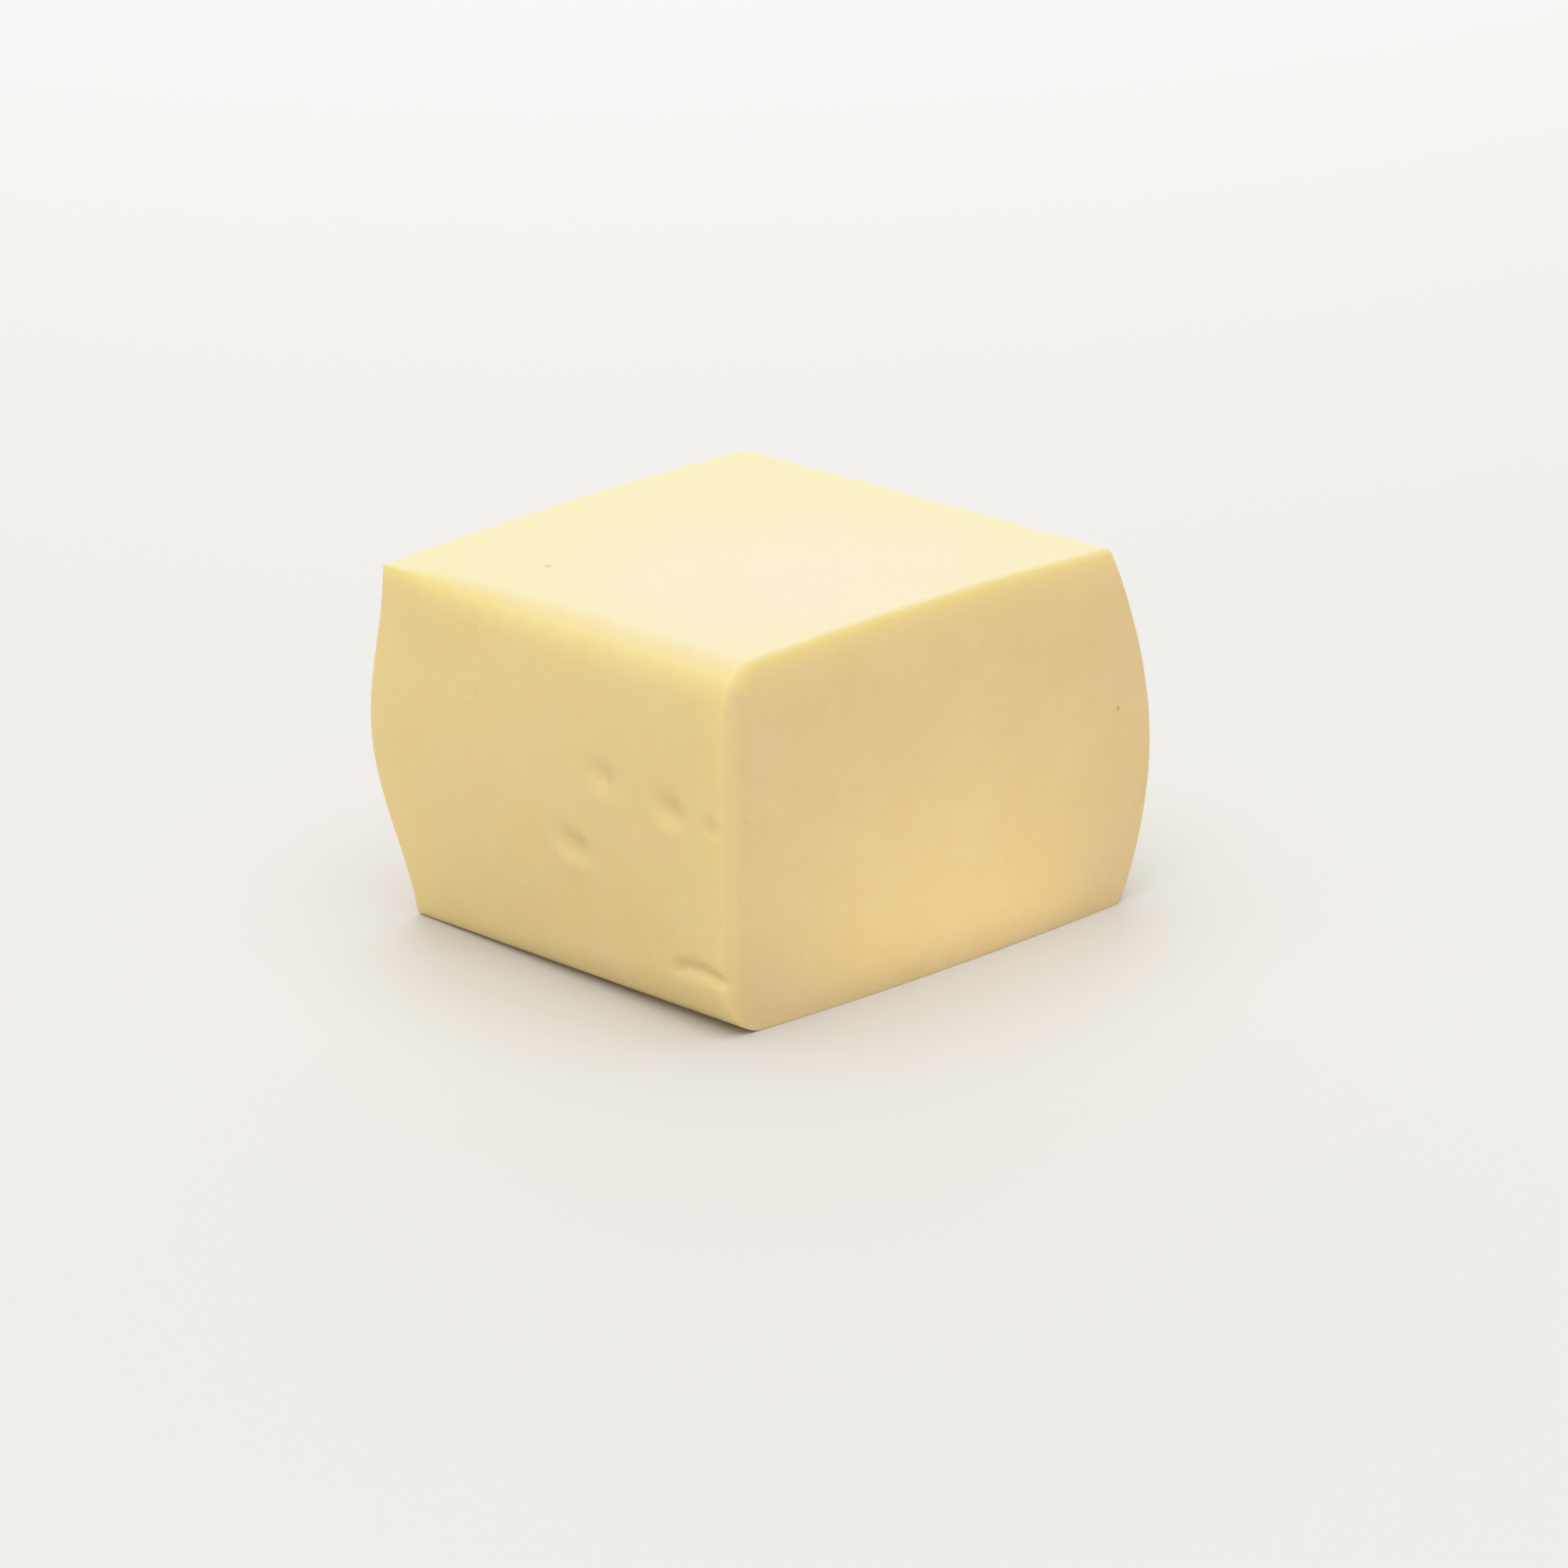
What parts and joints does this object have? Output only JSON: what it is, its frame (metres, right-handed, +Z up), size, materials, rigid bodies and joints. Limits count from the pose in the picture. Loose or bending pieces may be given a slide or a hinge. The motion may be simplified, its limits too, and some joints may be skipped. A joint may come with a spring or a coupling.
{
  "type": "mozzarella block",
  "caption": "Block of mozzarella cut from a moulded loaf, with a flat cut face, bulging sides and a soft, dimpled skin side.",
  "frame": {"origin": "centre of the bounding box, at the flat base", "axes": "+Z up, -Y is the cut face, -X is the moulded skin side, +X is the longest extent"},
  "size_m": [0.1604, 0.1428, 0.1014],
  "materials": {
    "mozzarella": "smooth, slightly moist satin, pale yellow"
  },
  "bodies": {
    "root": {"mozzarella_block": "mozzarella"}
  },
  "joints": []
}
